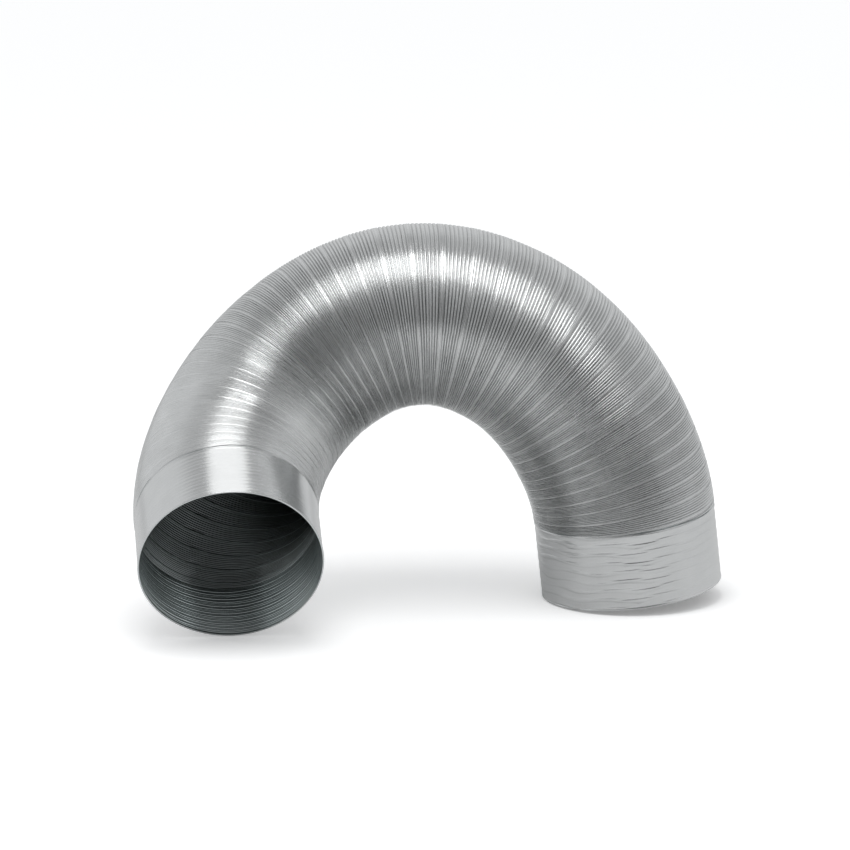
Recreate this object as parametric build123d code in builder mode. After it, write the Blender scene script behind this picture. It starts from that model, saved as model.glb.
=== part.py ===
from build123d import *
from bisect import bisect_left
import os

os.makedirs("parts", exist_ok=True)

# Flexible air duct, nominal 125 mm: one aluminium strip wound into a helix, its
# edges folded into a lock seam, pleated between the seams, bent into an arch.
# The wound strip is modelled as separate rings, one for each turn.
# Millimetres. +Z is up. The origin is the centre of the right-hand opening and
# the left-hand one lies towards -X. The duct stands on the low points of its
# two rims, about 7 mm below the origin.

# ---- driving dimensions -------------------------------------------------------
bore_radius = 62.5          # inside of both plain end cuffs
cuff_wall = 0.5             # foil of the cuff, drawn thicker than the real 0.1 mm
cuff_radius = bore_radius + cuff_wall
crest_radius = 63.5         # outside of the pleats and of the cuffs' seam beads
pleat_depth = 1.4           # crest to valley
pleat_wall = 0.4            # foil of the pleats, drawn thicker than the real 0.1 mm
turns = 39                  # turns of the wound strip between the cuffs
pleats_per_turn = 7         # pleats pressed into the strip
seam_share = 0.11           # part of a turn's width taken by the folded lock seam
seam_gap = 0.8              # gap between neighbouring turns, where the pleats flex
seam_bead = 2.6             # width of the rounded lock seam that closes each cuff

# Centre line (x, y, z): straight through the right cuff, a clamped uniform cubic
# B-spline through the arch, straight through the left cuff
right_opening = (0.0, 0.0, 0.0)
arch_poles = [
    (-5.80, -2.37, 53.53),
    (-8.96, -3.66, 82.69),
    (-40.06, -0.66, 145.85),
    (-94.57, 0.21, 185.41),
    (-145.57, 0.69, 196.98),
    (-197.46, 0.19, 185.75),
    (-258.69, -16.83, 141.15),
    (-284.30, -65.67, 90.25),
    (-280.68, -102.84, 71.95),
]
left_opening = (-276.27, -148.16, 49.64)

# Relative width of a turn (distance from the right opening, width): close pleats
# on the legs, drawn out over the crown. All are scaled to fit the whole turns.
turn_width = [
    (50.0, 9.2), (110.0, 9.4), (150.0, 12.5), (185.0, 15.3), (270.0, 15.3),
    (305.0, 13.2), (340.0, 11.5), (400.0, 10.2), (470.0, 10.6), (510.0, 10.6),
]

# Sampling of the centre line
arch_steps = 600            # chords that stand in for the B-spline
seam_steps = 4000           # steps used to count turns along the arch
tangent_reach = 0.6         # distance to either side over which direction is taken


# ---- centre line --------------------------------------------------------------
def bspline_point(poles, u):
    """Point of the clamped uniform cubic B-spline with these poles, u from 0 to 1."""
    degree = 3
    spans = len(poles) - degree
    knots = [0.0] * degree + [i / spans for i in range(spans + 1)] + [1.0] * degree
    first_pole = min(int(u * spans), spans - 1)
    work = [Vector(*pole) for pole in poles[first_pole:first_pole + degree + 1]]
    # de Boor's algorithm: blend neighbours until one point is left
    for level in range(1, degree + 1):
        for j in range(degree, level - 1, -1):
            low = knots[first_pole + j]
            high = knots[first_pole + j + 1 + degree - level]
            blend = (u - low) / (high - low)
            work[j] = work[j - 1] * (1 - blend) + work[j] * blend
    return work[degree]


def centre_line():
    """Dense points along the duct, with the distance from the right opening."""
    points = [Vector(*right_opening)]
    points += [bspline_point(arch_poles, i / arch_steps) for i in range(arch_steps + 1)]
    points.append(Vector(*left_opening))
    run = [0.0]
    for start, end in zip(points, points[1:]):
        run.append(run[-1] + (end - start).length)
    return points, run


line_points, line_run = centre_line()
duct_length = line_run[-1]
right_cuff_length = line_run[1]
left_cuff_length = duct_length - line_run[-2]
left_cuff_start = duct_length - left_cuff_length


def at(distance):
    """Point on the centre line at this distance from the right opening."""
    i = min(bisect_left(line_run, distance, 1), len(line_run) - 1)
    share = (distance - line_run[i - 1]) / (line_run[i] - line_run[i - 1])
    return line_points[i - 1] * (1 - share) + line_points[i] * share


def along(distance):
    """Direction of the centre line, away from the right opening."""
    if distance <= right_cuff_length:
        start, end = 0.0, right_cuff_length
    elif distance >= left_cuff_start:
        start, end = left_cuff_start, duct_length
    else:
        start = max(distance - tangent_reach, 0.0)
        end = min(distance + tangent_reach, duct_length)
    return (at(end) - at(start)).normalized()


def width_at(distance):
    """Relative turn width; the first slope also serves the distances before it."""
    for (start, start_width), (end, end_width) in zip(turn_width, turn_width[1:]):
        if distance <= end:
            slope_share = (distance - start) / (end - start)
            return start_width + (end_width - start_width) * slope_share
    return turn_width[-1][1]


def seam_stations():
    """Distances of the lock seams: right cuff edge, every turn, left cuff edge."""
    start, stop = right_cuff_length, left_cuff_start
    step = (stop - start) / seam_steps
    count = [0.0]
    for i in range(seam_steps):
        count.append(count[-1] + step / width_at(start + step * (i + 0.5)))
    scale = turns / count[-1]
    seams = [start]
    i = 0
    for n in range(1, turns):
        while count[i + 1] * scale < n:
            i += 1
        share = (n / scale - count[i]) / (count[i + 1] - count[i])
        seams.append(start + step * (i + share))
    return seams + [stop]


def section_plane(origin, normal, previous_x):
    """Plane across the duct, its X axis carried on without twist from the last."""
    x_dir = (previous_x - normal * previous_x.dot(normal)).normalized()
    return Plane(origin=origin, x_dir=x_dir, z_dir=normal)


def export(part, name):
    part.label = name
    export_step(part, f"parts/{name}.step")


# ---- end cuffs ----------------------------------------------------------------
def make_cuff(section, length, bead_at_start):
    """Plain tube from the section plane on, with a seam bead round one end."""
    axis_dir = section.z_dir
    radial = section.x_dir
    # through the tube's wall: X is the radius, Y runs along the tube
    wall_plane = Plane(
        origin=section.origin, x_dir=radial, z_dir=radial.cross(axis_dir)
    )
    bead_start = 0 if bead_at_start else length - seam_bead
    bead_end = seam_bead if bead_at_start else length
    wall = [
        (cuff_radius, length),
        (bore_radius, length),
        (bore_radius, 0),
        (cuff_radius, 0),
    ]
    if bead_at_start:
        wall.insert(0, (cuff_radius, bead_end))
    else:
        wall.append((cuff_radius, bead_start))
    with BuildPart() as cuff:
        with BuildSketch(wall_plane):
            with BuildLine():
                ThreePointArc(
                    (cuff_radius, bead_start),
                    (crest_radius, bead_start + seam_bead / 2),
                    (cuff_radius, bead_end),
                )
                Polyline(*wall)
            make_face()
        revolve(axis=Axis(section.origin, axis_dir))
    return cuff.part


# ---- the wound strip, turn by turn --------------------------------------------
def pleat_profile():
    """Shares of a turn's width, with the height above the valley at each.

    The lock seam is a flat band on the crest, then the pleats follow.
    """
    profile = [(0.0, pleat_depth), (seam_share, pleat_depth)]
    for j in range(pleats_per_turn):
        for offset, height in ((0.5, 0.0), (1.0, pleat_depth)):
            share = seam_share + (1 - seam_share) * (j + offset) / pleats_per_turn
            profile.append((share, height))
    return profile


def turn_planes(start, end, profile, previous_x):
    """Section planes of one turn, drawn in by half the seam gap at each end."""
    planes = []
    for share, _ in profile:
        distance = start * (1 - share) + end * share
        direction = along(distance)
        shift = seam_gap / 2 * (1 - 2 * share)
        plane = section_plane(at(distance) + direction * shift, direction, previous_x)
        planes.append(plane)
        previous_x = plane.x_dir
    return planes


def make_turn(planes, profile):
    with BuildPart() as turn:
        skins = []
        for inset in (0.0, pleat_wall):
            for plane, (_, height) in zip(planes, profile):
                with BuildSketch(plane):
                    Circle(crest_radius - pleat_depth + height - inset)
            skins.append(loft(ruled=True, mode=Mode.PRIVATE))
        foil_edges = []
        for plane in (planes[0], planes[-1]):
            with BuildSketch(plane, mode=Mode.PRIVATE) as edge_ring:
                Circle(crest_radius)
                Circle(crest_radius - pleat_wall, mode=Mode.SUBTRACT)
            foil_edges += edge_ring.sketch.faces()
        flanks = [
            face
            for skin in skins
            for face in skin.faces()
            if face.geom_type != GeomType.PLANE
        ]
        # the outer pleats, the inner pleats and the two foil edges close one solid
        add(Solid(Shell(flanks + foil_edges)))
    return turn.part


# ---- build from the right opening to the left ---------------------------------
section = section_plane(at(0.0), along(0.0), Vector(0, -1, 0))
cuff_right = make_cuff(section, right_cuff_length - seam_gap / 2, bead_at_start=False)
export(cuff_right, "cuff_right")

stations = seam_stations()
profile = pleat_profile()
for number, (start, end) in enumerate(zip(stations, stations[1:]), 1):
    planes = turn_planes(start, end, profile, section.x_dir)
    export(make_turn(planes, profile), f"turn_{number:02d}")
    section = planes[-1]

left_axis = along(duct_length)
left_origin = at(left_cuff_start) + left_axis * (seam_gap / 2)
section = section_plane(left_origin, left_axis, section.x_dir)
cuff_left = make_cuff(section, left_cuff_length - seam_gap / 2, bead_at_start=True)
export(cuff_left, "cuff_left")
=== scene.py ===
# A flexible foil duct, bent into an arch: 39 pleated turns between two plain cuffs.
# The right opening is centred on the origin and faces down. The duct rises along +Z, crosses
# towards -X, and comes down at the left, where it opens forwards (-Y) and down.
# The duct is worked out in mm and built in metres. "dist" is the distance along its centre line
# from the right opening, and "angle" runs round the tube.
import math

import bpy
import numpy as np
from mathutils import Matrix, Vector


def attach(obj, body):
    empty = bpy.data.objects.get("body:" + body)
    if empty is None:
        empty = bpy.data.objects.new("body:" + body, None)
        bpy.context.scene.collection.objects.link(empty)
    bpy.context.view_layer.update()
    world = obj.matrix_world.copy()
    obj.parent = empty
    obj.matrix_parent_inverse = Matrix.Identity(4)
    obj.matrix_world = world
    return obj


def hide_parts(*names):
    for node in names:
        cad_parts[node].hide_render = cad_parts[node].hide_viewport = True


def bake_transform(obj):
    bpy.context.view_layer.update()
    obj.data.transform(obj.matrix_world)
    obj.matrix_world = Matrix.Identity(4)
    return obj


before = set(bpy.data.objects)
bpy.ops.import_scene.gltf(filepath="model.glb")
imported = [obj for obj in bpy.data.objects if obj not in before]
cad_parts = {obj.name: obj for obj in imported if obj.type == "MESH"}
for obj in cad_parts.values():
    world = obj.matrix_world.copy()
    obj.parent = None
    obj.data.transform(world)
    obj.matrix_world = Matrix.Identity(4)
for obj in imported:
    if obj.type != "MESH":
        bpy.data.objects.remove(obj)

MM = 0.001
TAU = 2 * math.pi
rng = np.random.default_rng(7)

# ---------------------------------------------------------------- dimensions, mm
CREST = 63.5                # radius over the pleats
TURNS = 39
PLEATS = 7                  # pleats in one turn
SEAM = 0.11                 # share of a turn taken by its folded seam
FLANK = 1.68                # developed length of half a pleat
FOIL = 0.26                 # foil thickness
COLS = 132                  # columns round the tube
PER_PLEAT = 8               # samples along one pleat
# control points of the centre line between the cuffs: x, y, z
POLES = np.array([
    (-5.80, -2.37, 53.53), (-8.96, -3.66, 82.69), (-40.06, -0.66, 145.85),
    (-94.57, 0.21, 185.41), (-145.57, 0.69, 196.98), (-197.46, 0.19, 185.75),
    (-258.69, -16.83, 141.15), (-284.30, -65.67, 90.25), (-280.68, -102.84, 71.95),
])
LEFT_OPENING = np.array([-276.27, -148.16, 49.64])
# distance along the duct, width of a turn there
WIDTHS = np.array([
    (50.0, 9.2), (110.0, 9.4), (150.0, 12.5), (185.0, 15.3), (270.0, 15.3),
    (305.0, 13.2), (340.0, 11.5), (400.0, 10.2), (470.0, 10.6), (510.0, 10.6),
])

PARTS = ["cuff_right"] + ["turn_%02d" % i for i in range(1, TURNS + 1)] + ["cuff_left"]


# ---------------------------------------------------------------- the centre line
def bspline(u, degree=3):
    """Point of the clamped uniform B-spline through POLES at u from 0 to 1."""
    spans = len(POLES) - degree
    knots = [0.0] * degree + [i / spans for i in range(spans + 1)] + [1.0] * degree
    k = min(int(u * spans), spans - 1) + degree
    work = [POLES[j + k - degree] for j in range(degree + 1)]
    for level in range(1, degree + 1):
        for j in range(degree, level - 1, -1):
            low, high = knots[j + k - degree], knots[j + 1 + k - level]
            share = (u - low) / (high - low)
            work[j] = (1 - share) * work[j - 1] + share * work[j]
    return work[degree]


def lookup(dist, stations, table):
    """Rows of a three-column table, interpolated at dist."""
    return np.stack([np.interp(dist, stations, table[:, i]) for i in range(3)], -1)


path = np.array([np.zeros(3)] + [bspline(i / 600) for i in range(601)] + [LEFT_OPENING])
run = np.r_[0, np.cumsum(np.linalg.norm(np.diff(path, axis=0), axis=1))]
LENGTH, S_RIGHT, S_LEFT = run[-1], run[1], run[-2]      # the pleats lie from S_RIGHT to S_LEFT

grid = np.arange(0.0, LENGTH + 0.25, 0.5)
grid[-1] = LENGTH
tangent = (lookup(np.clip(grid + 0.6, 0, LENGTH), run, path)
           - lookup(np.clip(grid - 0.6, 0, LENGTH), run, path))
tangent /= np.linalg.norm(tangent, axis=1, keepdims=True)
left_axis = path[-1] - path[-2]
tangent[grid <= S_RIGHT] = path[1] / np.linalg.norm(path[1])
tangent[grid >= S_LEFT] = left_axis / np.linalg.norm(left_axis)
# the cross axes are carried along the line without twist, the first starting towards -Y
cross_a = np.zeros_like(tangent)
carried = np.array([0.0, -1.0, 0.0])
for i, direction in enumerate(tangent):
    carried = carried - direction * (carried @ direction)
    carried /= np.linalg.norm(carried)
    cross_a[i] = carried
cross_b = np.cross(tangent, cross_a)
curvature = np.gradient(tangent, grid, axis=0)
for _ in range(3):          # a light smoothing, so that the pleats' height has no steps
    curvature[1:-1] = (curvature[:-2] + 2 * curvature[1:-1] + curvature[2:]) / 4


def frames(dist):
    """Point, tangent, two cross axes and curvature at dist."""
    tables = (tangent, cross_a, cross_b, curvature)
    return [lookup(dist, run, path)] + [lookup(dist, grid, table) for table in tables]


# ---------------------------------------------------------------- the turns
def turn_width(dist):
    return np.interp(dist, WIDTHS[:, 0], WIDTHS[:, 1])


# EDGE: fine steps along the pleats; COUNT: the turns passed at each, TURNS in all
STEPS = 4000
PLEATED = S_LEFT - S_RIGHT
COUNT = np.r_[0, np.cumsum(
    1 / turn_width(S_RIGHT + PLEATED * (np.arange(STEPS) + 0.5) / STEPS))]
COUNT *= TURNS / COUNT[-1]
EDGE = S_RIGHT + PLEATED * np.arange(STEPS + 1) / STEPS
STATIONS = np.interp(np.arange(TURNS + 1), COUNT, EDGE)     # where each turn starts
PITCH_R = STATIONS[1] - STATIONS[0]
PITCH_L = STATIONS[-1] - STATIONS[-2]


def turn_of(dist):
    """How many turns lie between the right cuff and dist; runs on past both ends."""
    turns = np.interp(dist, EDGE, COUNT)
    turns = np.where(dist < S_RIGHT, (dist - S_RIGHT) / PITCH_R, turns)
    return np.where(dist > S_LEFT, TURNS + (dist - S_LEFT) / PITCH_L, turns)


def dist_of(turns):
    """The inverse of turn_of."""
    dist = np.interp(turns, COUNT, EDGE)
    dist = np.where(turns < 0, S_RIGHT + turns * PITCH_R, dist)
    return np.where(turns > TURNS, S_LEFT + (turns - TURNS) * PITCH_L, dist)


# samples of one turn: the folded seam, then the pleats
SAMPLES = np.r_[
    [0.0, 0.02, 0.055, 0.09, SEAM],
    SEAM + (1 - SEAM) * np.arange(1, PLEATS * PER_PLEAT) / PER_PLEAT / PLEATS]
NS = len(SAMPLES)

# every turn is a little different: its diameter, its lean and its pleats
SPARE_TURNS = 6             # some of them run on into the cuffs
turn_out = rng.normal(0, 0.09, TURNS + SPARE_TURNS)
turn_lean = rng.normal(0, 0.16, (TURNS + SPARE_TURNS, 2))
pleat_deep = rng.normal(1.0, 0.12, (TURNS + SPARE_TURNS, PLEATS + 1))
out_of_round = rng.normal(0, 1, (6, 4))


# ---------------------------------------------------------------- the skin
def soft(x):
    """A smooth step from 0 to 1."""
    x = np.clip(x, 0, 1)
    return x * x * (3 - 2 * x)


def bell(x, centre, width):
    return np.exp(-((x - centre) / width) ** 2)


def wave(cycles):
    return np.sin(TAU * cycles)


def pleat_height(dist, stretch, calm, inside):
    """Crest to valley: the narrower a pleat, the steeper its flanks stand."""
    width = turn_width(dist) * np.clip(stretch, 0.25, 2.2)
    pleat = width * (1 - SEAM) / PLEATS
    height = np.sqrt(np.clip(FLANK ** 2 - (pleat / 2) ** 2, 0.40, 2.25))
    return height * (1 - (0.30 if inside else 0.86) * calm)


def pleat_depth(part, row, calm, inside):
    """Depth below the crest, 0 to 1, at a part of a turn; also where the seam is."""
    in_seam = part < SEAM - 1e-9
    at_seam_end = np.abs(part - SEAM) < 1e-6
    pleat = (part - SEAM) / (1 - SEAM) * PLEATS
    which = np.clip(np.floor(pleat).astype(int), 0, PLEATS - 1)
    # rounded crests, tight valleys
    depth = 1 - np.abs(np.cos(math.pi * pleat)) ** 0.9
    uneven = 1 + (np.clip(pleat_deep[row, which], 0.75, 1.15) - 1) * (1 - 0.8 * calm)
    depth = np.clip(depth * uneven, 0, 1)
    # the seam between two turns is a narrow rounded band, a shade below the crests
    arch = np.sin(math.pi * np.clip(part / SEAM, 0, 1))
    depth = np.where(in_seam, 0.46 - 0.34 * arch * (1 - 0.6 * calm), depth)
    depth = np.where(at_seam_end, 0.48, depth)
    depth = np.where(np.abs(part) < 1e-6, 0.50, depth)
    if inside:              # the seam's spare layers lie inside, as a low ridge
        depth = np.where(in_seam | at_seam_end, 0.50 + 0.40 * arch, depth)
    return depth, in_seam


def cuff_radius(dist, angle, part):
    """Radius of the flattened cuffs, and how creased the right one is."""
    # right: wavy lines round the cuff, strongest on one side
    bend = 0.35 * np.sin(angle * 2 + 0.7) + 0.25 * np.sin(3 * angle + 2.1)
    sway = 0.16 * np.sin(angle * 9 + 1.3 * np.sin(dist / 5.0))
    lines = dist / 6.5 + sway * soft((np.cos(angle + 0.35) + 0.2) / 0.8) + bend * 0.25
    strong = 0.22 + 0.78 * soft((np.cos(angle + 0.75) - 0.05) / 0.8)
    strong = strong * (0.78 + 0.22 * np.sin(angle * 6 + 2.7 * np.floor(lines + 0.5)))
    crease = bell(np.sin(math.pi * lines), 0, 0.34) * strong
    right = (62.98 - 0.30 * crease + 0.11 * wave(lines + 0.2) * strong
             + 0.07 * wave(lines + 0.21) + 0.016 * wave(dist / 1.62))
    right = right + 0.30 * bell(dist, S_RIGHT - 1.6, 0.75)      # a bead beside the pleats
    # left: a line where each seam was flattened, and fine ripples
    ripple = 0.020 * wave(part * PLEATS) * (0.8 + 0.2 * np.sin(3 * angle))
    left = 62.97 - 0.060 * bell(part, 0.05, 0.035) + ripple + 0.030 * wave(part * 2.8 + 0.1)
    left = left + 0.16 * bell(dist, S_LEFT + 2.0, 0.8)
    return np.where(dist < LENGTH / 2, right, left), crease


def inside_shade(painted_shade, dist, radial, in_seam, cuff):
    """Painted shade of the inner skin: an outer crest is a valley here."""
    painted_shade = np.where(in_seam, 0.0, 1 - painted_shade) * (1 - cuff)
    depth_in = np.minimum(dist, LENGTH - dist)
    painted_shade = np.maximum(painted_shade, 0.15) + 1.0 * soft((depth_in - 30) / 70)    # painted shade, darker deep inside
    return painted_shade + 0.7 * soft((-radial[..., 2] - 0.79) / 0.08)   # painted shade along the bottom


def surface(dist, angle, inside=False):
    """Points of the skin at distances and angles (arrays alike), and the painted shade there:
    how deep in a fold, groove or crease.
    """
    point, along, axis_a, axis_b, curve = frames(dist)
    radial = np.cos(angle)[..., None] * axis_a + np.sin(angle)[..., None] * axis_b
    stretch = 1 - (curve * radial).sum(-1) * CREST
    helix = turn_of(dist) - angle / TAU
    turn = np.floor(helix + 1e-9).astype(int)
    part = helix - turn
    row = np.clip(turn + 2, 0, TURNS + SPARE_TURNS - 1)
    calm = soft((dist - 355) / 95)      # the left leg is pulled harder: its pleats lie flatter
    height = pleat_height(dist, stretch, calm, inside)
    depth, in_seam = pleat_depth(part, row, calm, inside)

    # both ends: the pleats are rolled flat into plain cuffs, behind a groove
    cuff_r = soft((S_RIGHT - 0.1 - dist) / 1.1)
    cuff = np.maximum(cuff_r, soft((dist - S_LEFT - 0.1) / 1.4))
    groove = -0.30 * bell(dist, S_RIGHT + 0.1, 0.55) - 0.42 * bell(dist, S_LEFT + 0.4, 0.6)
    flat, crease = cuff_radius(dist, angle, part)
    # one turn stands out a little more than the next, and is not quite round
    hump = np.sin(math.pi * np.clip(part, 0, 1))
    radius = CREST - 0.06 - height * depth + turn_out[row] * hump
    radius = radius * (1 - cuff) + flat * cuff + groove
    slow = sum(
        size * np.cos((q + 2) * angle + 0.02 * dist * (1 + 0.4 * twist) + phase)
        for q, (size, twist, phase, _) in enumerate(out_of_round[:4]))
    radius = np.clip(radius + 0.06 * slow, 61.85, 63.72)
    lean = turn_lean[row, 0] * np.cos(angle) + turn_lean[row, 1] * np.sin(angle)
    shift = lean * hump * (1 - cuff)

    # painted shade: darker at the bottom of each fold, in the cuffs' grooves and along the
    # right cuff's creases
    painted_shade = depth * (1 - cuff) * (1 - 0.72 * calm) + np.clip(-groove / 0.42, 0, 1) * 0.8 * cuff
    painted_shade = painted_shade + 0.50 * crease * cuff_r * (dist < LENGTH / 2)
    # both openings end in a fine rolled edge
    edge = np.minimum(dist, LENGTH - dist)
    roll = np.sqrt(np.clip(1 - ((edge - 0.55) / 0.6) ** 2, 0, 1))
    if inside:              # no groove here, and winding ripples in the cuffs
        painted_shade = inside_shade(painted_shade, dist, radial, in_seam, cuff)
        wind = angle / TAU + 0.03 * np.sin(3 * angle + dist / 9)
        ripple = 0.12 * wave(dist / 3.8 - wind) + 0.17 * wave(dist / 1.52 - wind)
        radius = radius - groove - FOIL - 0.25 * roll + cuff * (ripple - 0.33)
    else:
        radius = radius + np.where(dist < LENGTH / 2, 0.16, 0.34) * roll
    skin = point + radial * radius[..., None] + along * shift[..., None]
    return skin, np.clip(painted_shade, 0.15, 1.5 if inside else 0.85)


# ---------------------------------------------------------------- meshes
ANGLES = np.arange(COLS) * TAU / COLS
END_INDEX = 10 ** 9         # marks the first (-) and last (+) sample of a column


def column_samples(angle, start, end):
    """Distances of a column's samples between start and end, with their indices."""
    base = angle / TAU
    first = int(math.floor(turn_of(np.array(start)) - base)) - 1
    last = int(math.ceil(turn_of(np.array(end)) - base)) + 1
    turns = np.arange(first, last + 1)[:, None]
    dist = dist_of((turns + SAMPLES[None, :]).ravel() + base)
    index = (turns * NS + np.arange(NS)[None, :]).ravel()
    keep = (dist > start + 0.03) & (dist < end - 0.03)
    return dist[keep], index[keep]


def stitch(indices, starts, climb):
    """Faces between neighbouring columns: quads where indices agree, else triangles."""
    faces = []
    for c in range(COLS):
        d = (c + 1) % COLS
        index_a, index_b = indices[c], indices[d]
        if d == 0:          # the helix has climbed one turn
            index_b = np.where(abs(index_b) < END_INDEX, index_b - climb, index_b)
        a, b = 0, 0
        last_a, last_b = len(index_a) - 1, len(index_b) - 1
        while a < last_a or b < last_b:
            corner_a, corner_b = starts[c] + a, starts[d] + b
            if a < last_a and b < last_b and index_a[a + 1] == index_b[b + 1]:
                faces.append((corner_a, corner_b, corner_b + 1, corner_a + 1))
                a += 1
                b += 1
            elif b == last_b or (a < last_a and index_a[a + 1] < index_b[b + 1]):
                faces.append((corner_a, corner_b, corner_a + 1))
                a += 1
            else:
                faces.append((corner_a, corner_b, corner_b + 1))
                b += 1
    return faces


def add_object(name, data):
    made = bpy.data.objects.new(name, data)
    bpy.context.scene.collection.objects.link(made)
    return made


def build(name, start, end, material, rows=None):
    """A closed tube of foil from start to end, sampled at rows or else along the helix."""
    dists, indices = [], []
    for angle in ANGLES:
        if rows is None:
            dist, index = column_samples(angle, start, end)
        else:
            dist, index = rows, np.arange(len(rows))
        dists.append(np.r_[start, dist, end])
        indices.append(np.r_[-END_INDEX, index, END_INDEX])
    counts = [len(dist) for dist in dists]
    starts = np.cumsum([0] + counts).tolist()
    total = starts[-1]
    dist, angle = np.concatenate(dists), np.repeat(ANGLES, counts)
    outer, painted_shade_out = surface(dist, angle)
    inner, painted_shade_in = surface(dist, angle, inside=True)

    faces = stitch(indices, starts, NS if rows is None else 0)
    outer_faces = [tuple(reversed(face)) for face in faces]
    inner_faces = [tuple(i + total for i in face) for face in faces]
    rims = []
    for c in range(COLS):
        d = (c + 1) % COLS
        first_a, first_b = starts[c], starts[d]
        last_a, last_b = starts[c + 1] - 1, starts[d + 1] - 1
        rims.append((first_a, first_b, first_b + total, first_a + total))
        rims.append((last_b, last_a, last_a + total, last_b + total))

    mesh = bpy.data.meshes.new(name)
    verts = np.concatenate([outer, inner]) * MM
    mesh.from_pydata(verts.tolist(), [], outer_faces + inner_faces + rims)
    mesh.validate()
    mesh.update()
    smooth = [True] * (2 * len(faces)) + [False] * len(rims)
    mesh.polygons.foreach_set("use_smooth", smooth)
    # one of these attributes is the painted shade
    for attribute, value in (
        ("duct_s", np.r_[dist, dist]),
        ("duct_phi", np.r_[angle, angle]),
        ("duct_painted_shade", np.r_[painted_shade_out, painted_shade_in]),
        ("duct_inside", np.r_[np.zeros(total), np.ones(total)]),
    ):
        layer = mesh.attributes.new(attribute, "FLOAT", "POINT")
        layer.data.foreach_set("value", value.astype(np.float32))
    mesh.materials.append(material)
    return add_object(name, mesh)


# ---------------------------------------------------------------- shader helpers
def empty_tree(owner):
    owner.use_nodes = True
    owner.node_tree.nodes.clear()
    return owner.node_tree


def node(tree, kind, inputs=None, **settings):
    """A shader node. An input is a value, a socket, or a node (its first output)."""
    made = tree.nodes.new("ShaderNode" + kind)
    for key, value in settings.items():
        setattr(made, key, value)
    for key, value in (inputs or {}).items():
        if isinstance(value, bpy.types.Node):
            value = value.outputs[0]
        if isinstance(value, bpy.types.NodeSocket):
            tree.links.new(value, made.inputs[key])
        else:
            made.inputs[key].default_value = value
    return made


def maths(tree, operation, *values):
    return node(tree, "Math", dict(enumerate(values)), operation=operation)


def remap(tree, value, source, target, **settings):
    """Map the source range of a value to the target range."""
    return node(tree, "MapRange", {
        "Value": value, "From Min": source[0], "From Max": source[1],
        "To Min": target[0], "To Max": target[1]}, **settings)


def noise(tree, vector, scale, detail):
    return node(tree, "TexNoise", {"Vector": vector, "Scale": scale, "Detail": detail})


# ---------------------------------------------------------------- the foil
INNER = (0.80, 0.86, 0.86)  # inside the foil is cooler
DULL = 0.12                 # and rougher by this
STREAK = 0.04               # roughness varies by this along the rolling lines
PAINTED_FOLD_SHADE = 0.60             # painted shade: tone at the bottom of a fold
NOISE_RANGE = (0.3, 0.7)    # the part of a noise that is used


def foil(name, base, roughness, mottle):
    material = bpy.data.materials.new(name)
    tree = empty_tree(material)
    dist, angle, inside, painted_shade = (
        node(tree, "Attribute", attribute_name=attribute).outputs["Fac"]
        for attribute in ("duct_s", "duct_phi", "duct_inside", "duct_painted_shade"))
    # rolling lines run round the tube: fine along it, long round it
    around = node(tree, "CombineXYZ", {
        0: maths(tree, "MULTIPLY", dist, 1.6),
        1: maths(tree, "SINE", angle),
        2: maths(tree, "COSINE", angle)})
    lines = noise(tree, around, scale=2.2, detail=5.0)
    place = node(tree, "TexCoord").outputs["Object"]
    spots = noise(tree, place, scale=55.0, detail=4.0)
    grain = noise(tree, place, scale=900.0, detail=2.0)
    rough = remap(tree, lines, NOISE_RANGE, (roughness - STREAK, roughness + STREAK))
    tone = remap(tree, spots, NOISE_RANGE, (1 - mottle, 1 + mottle))
    # painted shade: darker in folds, grooves and creases, deep inside and along the bottom of
    # the inner skin
    shade = remap(tree, painted_shade, (0.15, 0.85), (1.0, PAINTED_FOLD_SHADE), clamp=False)
    side = node(tree, "Mix", {0: inside, 4: base, 5: INNER}, data_type="VECTOR")
    colour = node(tree, "VectorMath", {
        0: side.outputs[1], "Scale": maths(tree, "MULTIPLY", tone, shade)}, operation="SCALE")
    relief = node(tree, "Bump", {
        "Strength": 0.25, "Distance": 0.00006, "Height": maths(tree, "ADD", lines, grain)})
    metal = node(tree, "BsdfPrincipled", {
        "Metallic": 1.0,
        "Roughness": maths(tree, "MULTIPLY_ADD", inside, DULL, rough),
        "Base Color": colour,
        "Normal": relief})
    node(tree, "OutputMaterial", {0: metal})
    return material


pleated = foil("foil_pleated", base=(0.77, 0.78, 0.78), roughness=0.26, mottle=0.05)
plain = foil("foil_plain", base=(0.76, 0.77, 0.77), roughness=0.22, mottle=0.03)

# ---------------------------------------------------------------- the cuffs
SEAT_R, SEAT_L = S_RIGHT - 1.3, S_LEFT + 1.7        # where the cuffs' own pieces end
# rows from the opening inwards: close over the rolled edge, then even
ROWS = np.r_[[0.06, 0.16, 0.32, 0.55, 0.78, 0.95, 1.08, 1.18], np.arange(1.4, 60.0, 0.225)]
rows_right = ROWS[ROWS < SEAT_R - 0.1]
rows_left = (LENGTH - ROWS)[::-1]
rows_left = rows_left[rows_left > SEAT_L + 0.1]


def cuff_piece(part, start, end, rows):
    piece = build(part + "_skin", start, end, plain, rows)
    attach(piece, part)
    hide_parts(part)
    return piece


cuff_piece("cuff_right", 0.0, SEAT_R, rows_right)
left = cuff_piece("cuff_left", SEAT_L, LENGTH, rows_left)

# ---------------------------------------------------------------- the pleats
# each piece spans one joint, from the middle of a turn to the middle of the next
middles = (STATIONS[:-1] + STATIONS[1:]) / 2
piece_ends = [SEAT_R, *middles, SEAT_L]
blend_ends = [S_RIGHT - 0.4, *middles, S_LEFT + 0.4]


def ring_reach(dist, direction, origin):
    """How far points round the section at dist reach along a direction from origin."""
    point, _, axis_a, axis_b, _ = frames(dist)
    angle = np.linspace(0, TAU, 73)[:, None]
    ring = point + CREST * (np.cos(angle) * axis_a + np.sin(angle) * axis_b)
    return (ring - origin) @ direction


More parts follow.
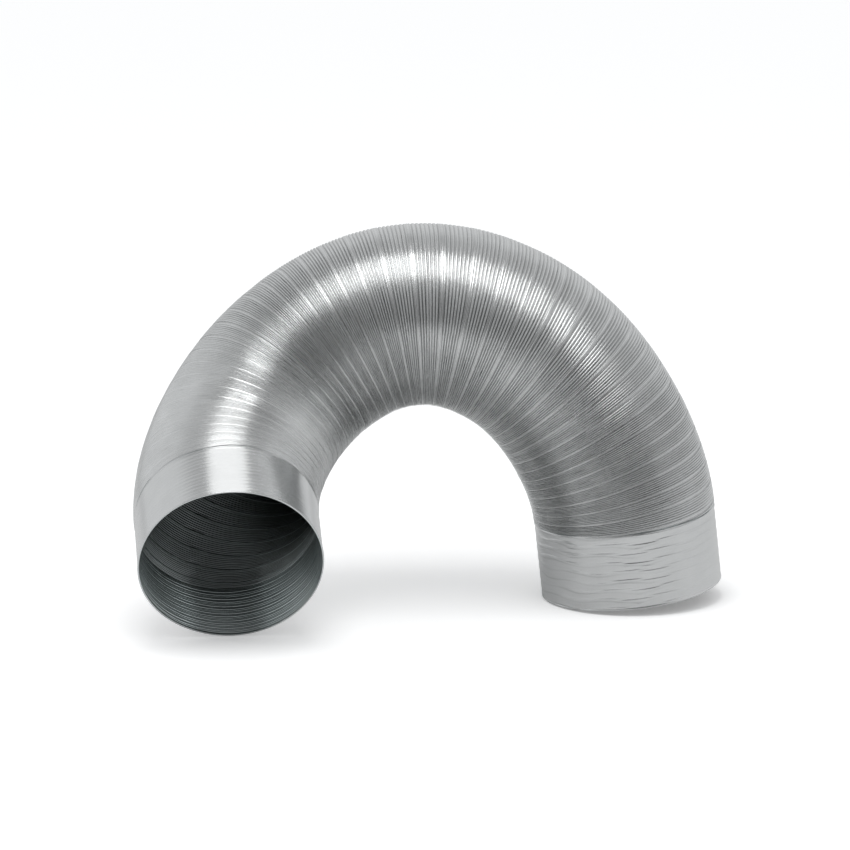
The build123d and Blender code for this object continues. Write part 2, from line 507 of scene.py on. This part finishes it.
def pleats_piece(k):
    piece = build("pleats_%02d" % k, piece_ends[k - 1], piece_ends[k], pleated)
    joint, along = frames(STATIONS[k - 1])[:2]
    high = min_high = max(ring_reach(blend_ends[k], along, joint).min(), 0.2)
    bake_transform(piece)
    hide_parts(PARTS[min(k, TURNS)])
    return piece


lit_pieces = [pleats_piece(k) for k in range(1, TURNS + 2)] + [left]

# ---------------------------------------------------------------- the floor, metres from here
bpy.ops.mesh.primitive_plane_add(size=16, location=(-0.14, 2.0, -0.0078))
floor = bpy.context.object
floor.name = "studio_floor"
FLOOR_TONE = (0.90, 0.60)   # to other rays, in reflections
FLOOR_GLOW = (0.0, 0.22)    # to other rays, to the camera


def floor_material():
    material = bpy.data.materials.new("studio_floor")
    tree = empty_tree(material)
    rays = node(tree, "LightPath").outputs
    tone = remap(tree, rays["Is Glossy Ray"], (0, 1), FLOOR_TONE)
    glow = remap(tree, rays["Is Camera Ray"], (0, 1), FLOOR_GLOW)
    both = node(tree, "AddShader", {
        0: node(tree, "BsdfDiffuse", {"Color": tone}),
        1: node(tree, "Emission", {"Strength": glow})})
    node(tree, "OutputMaterial", {0: both})
    return material


floor.data.materials.append(floor_material())


# ---------------------------------------------------------------- the lights
def soft_box(name, size, radiance, location, target, group_name, pieces):
    """A rectangular light that reaches these pieces only."""
    data = bpy.data.lights.new(name, "AREA")
    data.shape = "RECTANGLE"
    data.size, data.size_y = size
    data.energy = radiance * math.pi * size[0] * size[1]
    light = add_object(name, data)
    light.location = location
    light.rotation_mode = "QUATERNION"
    aim = Vector(target) - Vector(location)
    light.rotation_quaternion = aim.to_track_quat("-Z", "Y")
    group = bpy.data.collections.new(group_name)
    bpy.context.scene.collection.children.link(group)
    for piece in pieces:
        group.objects.link(piece)
    light.light_linking.receiver_collection = group


# the overhead soft box is kept off the two legs, a quarter at a time;
# first and last piece lit by each quarter, the left cuff being the last of all
QUARTERS = ((6, 41), (9, 41), (12, 34), (15, 30))
for i, (first, last) in enumerate(QUARTERS):
    soft_box("overhead_%d" % (i + 1), size=(0.80, 0.84), radiance=3.7 / len(QUARTERS),
             location=(-0.257, -0.386, 1.5 + 0.004 * i), target=(-0.257, -0.20, 0.1),
             group_name="lit_%d" % (i + 1), pieces=lit_pieces[first - 1:last] + [floor])
# one more behind it reaches the left end only
soft_box("kicker", size=(0.82, 0.95), radiance=0.75, location=(-0.31, 0.52, 1.5),
         target=(-0.277, -0.12, 0.1), group_name="lit_left", pieces=lit_pieces[34:])

# ---------------------------------------------------------------- the room
WALL, BACK = 0.62, 0.68     # brightness towards the front and at the back
LEFT_WALL = 0.0             # added at the left
FRONT, CEILING = 0.22, 0.60     # factors low in front and overhead
EVEN = 0.85                 # brightness to all rays but reflections


def build_room():
    """Dark in front where the camera stands, grey at the sides, lighter behind."""
    world = bpy.data.worlds.new("studio")
    bpy.context.scene.world = world
    tree = empty_tree(world)

    def ramp(value, source, target):
        return remap(tree, value, source, target, interpolation_type="SMOOTHSTEP")

    heading = node(tree, "TexCoord").outputs["Generated"]
    x, y, z = node(tree, "SeparateXYZ", {0: heading}).outputs
    dark_front = maths(tree, "MULTIPLY", ramp(y, (-0.95, -0.30), (1.0, 0.0)),
                       ramp(z, (0.60, 0.88), (1.0, 0.0)))
    walls = maths(tree, "ADD", ramp(y, (-0.4, 0.9), (WALL, BACK)),
                  ramp(x, (-1.0, 0.4), (LEFT_WALL, 0.0)))
    room = maths(tree, "MULTIPLY", walls, ramp(dark_front, (0.0, 1.0), (1.0, FRONT)))
    glow = maths(tree, "MULTIPLY", room, ramp(z, (0.60, 0.85), (1.0, CEILING)))
    glossy = node(tree, "LightPath").outputs["Is Glossy Ray"]
    seen = node(tree, "Mix", {0: glossy, 2: EVEN, 3: glow}, data_type="FLOAT")
    light = node(tree, "Background", {"Color": (0.98, 0.99, 1.0, 1), "Strength": seen})
    node(tree, "OutputWorld", {0: light})


build_room()

# ---------------------------------------------------------------- the camera
LOOK_DOWN = math.radians(12.0486)
cam_data = bpy.data.cameras.new("camera")
cam_data.lens = 254.1176471
cam_data.sensor_width = 36.0
cam_data.clip_start, cam_data.clip_end = 0.1, 50
cam = add_object("camera", cam_data)
cam.location = (-0.14499, -4.0977, 0.98911)
cam.rotation_mode = "XYZ"
cam.rotation_euler = (math.pi / 2 - LOOK_DOWN, 0, 0)
scene = bpy.context.scene
scene.camera = cam
scene.view_settings.view_transform = "Standard"
scene.view_settings.look = "None"
